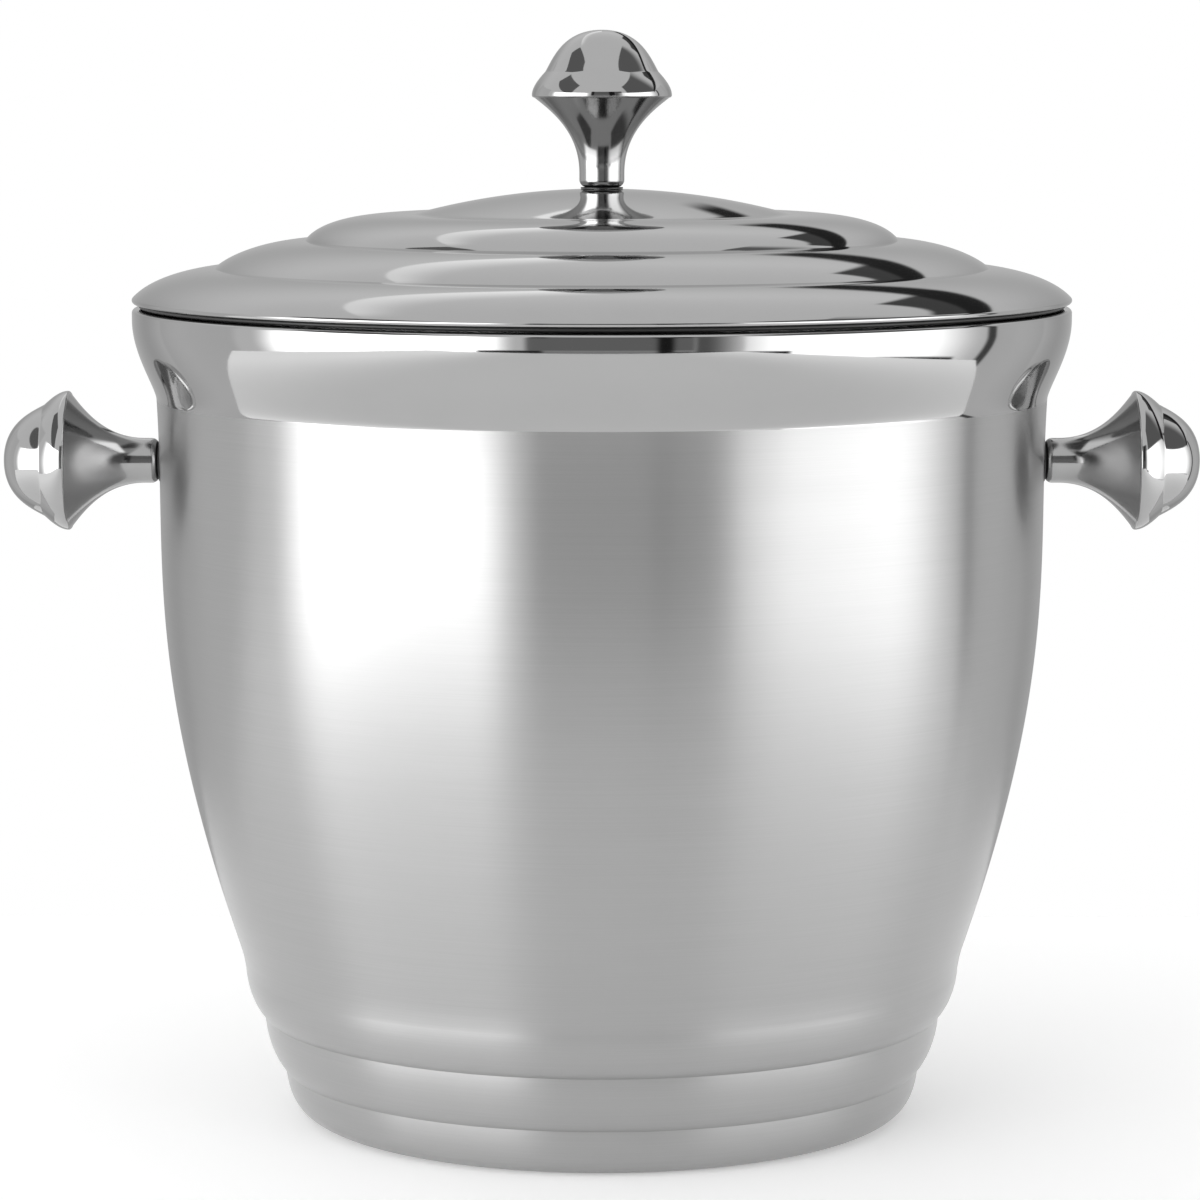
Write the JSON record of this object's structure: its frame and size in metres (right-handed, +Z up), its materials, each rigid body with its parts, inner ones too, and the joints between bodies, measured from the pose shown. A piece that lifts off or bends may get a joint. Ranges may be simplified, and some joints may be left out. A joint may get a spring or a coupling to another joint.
{
  "type": "ice bucket",
  "caption": "Round double-walled steel ice bucket with a stepped foot, brushed belly, flared polished collar, side knobs and a lift-off stepped lid with a knob.",
  "frame": {"origin": "centre of the circle that the bucket stands on, at table level", "axes": "+Z up along the bucket's axis, +X towards the right side knob, -Y towards the viewer"},
  "size_m": [0.2566, 0.2, 0.2329],
  "materials": {
    "brushed_shell": "circumferentially brushed satin, polished above the belly",
    "polished_steel": "mirror polished",
    "satin_liner": "satin",
    "cast_stem": "semi-polished",
    "plated_fastener": "plated",
    "black_seal": "smooth matt",
    "foam": "expanded foam"
  },
  "bodies": {
    "bucket": {"outer_shell": "brushed_shell", "inner_liner": "satin_liner", "base_cover": "satin_liner", "wall_insulation": "foam", "base_insulation": "foam", "left_knob_cap": "polished_steel", "left_knob_stem": "cast_stem", "left_knob_gasket": "black_seal", "left_backing_washer": "plated_fastener", "left_lock_washer": "plated_fastener", "left_knob_screw": "plated_fastener", "right_knob_cap": "polished_steel", "right_knob_stem": "cast_stem", "right_knob_gasket": "black_seal", "right_backing_washer": "plated_fastener", "right_lock_washer": "plated_fastener", "right_knob_screw": "plated_fastener"},
    "lid": {"lid_shell": "polished_steel", "lid_liner": "satin_liner", "lid_insulation": "foam", "lid_gasket": "black_seal", "lid_knob_cap": "polished_steel", "lid_knob_stem": "cast_stem", "lid_knob_gasket": "black_seal", "lid_backing_washer": "plated_fastener", "lid_lock_washer": "plated_fastener", "lid_knob_screw": "plated_fastener"}
  },
  "joints": [
    {"name": "lid_lift", "type": "slide", "parent": "bucket", "child": "lid", "axis": [0, 0, 1], "range_m": [0, 0.12]}
  ]
}
